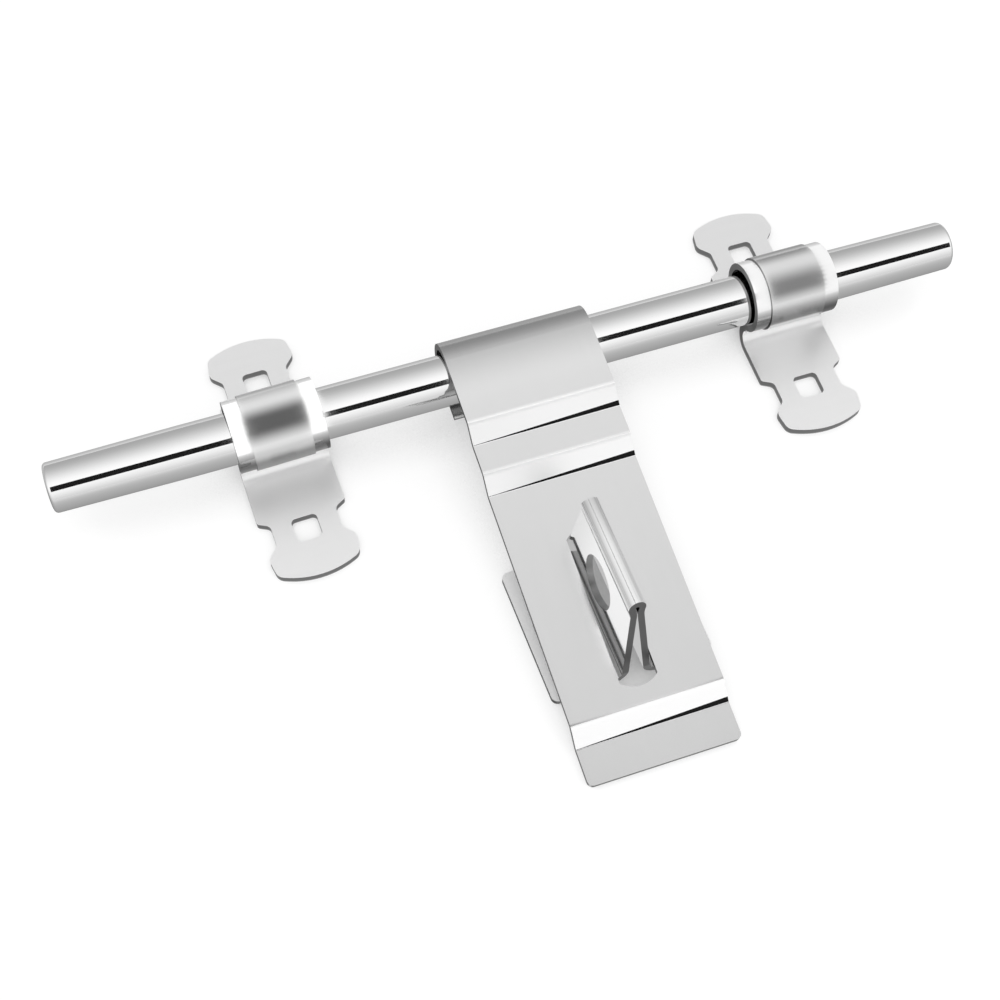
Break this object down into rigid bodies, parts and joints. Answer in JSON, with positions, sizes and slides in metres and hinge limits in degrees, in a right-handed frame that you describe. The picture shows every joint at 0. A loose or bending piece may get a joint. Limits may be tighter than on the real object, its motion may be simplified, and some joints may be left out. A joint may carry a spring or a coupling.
{
  "type": "door bolt with hasp and staple",
  "caption": "Sliding door bolt: a round rod in two saddle guides, with a folded hasp that drops over a padlock staple.",
  "frame": {"origin": "on the door's surface, under the rod's axis, at the middle of the rod and of the hasp", "axes": "+X along the rod, -Y from the rod along the hasp to its tip, +Z out of the door"},
  "size_m": [0.29, 0.1721, 0.0382],
  "materials": {
    "rod_steel": "polished",
    "guide_steel": "satin, with bright bands",
    "staple_steel": "polished",
    "hasp_steel": "satin, with bright steps"
  },
  "bodies": {
    "door_fittings": {"guide_left": "guide_steel", "guide_right": "guide_steel", "staple": "staple_steel"},
    "rod": {"rod": "rod_steel"},
    "hasp": {"hasp": "hasp_steel"}
  },
  "joints": [
    {"name": "rod_slide", "type": "slide", "parent": "door_fittings", "child": "rod", "axis": [1, 0, 0], "range_m": [-0.0005, 0.0005]},
    {"name": "hasp_swing", "type": "hinge", "parent": "rod", "child": "hasp", "pos_m": [0, 0, 0.0175], "axis": [-1, 0, 0], "range_deg": [0, 190]}
  ]
}
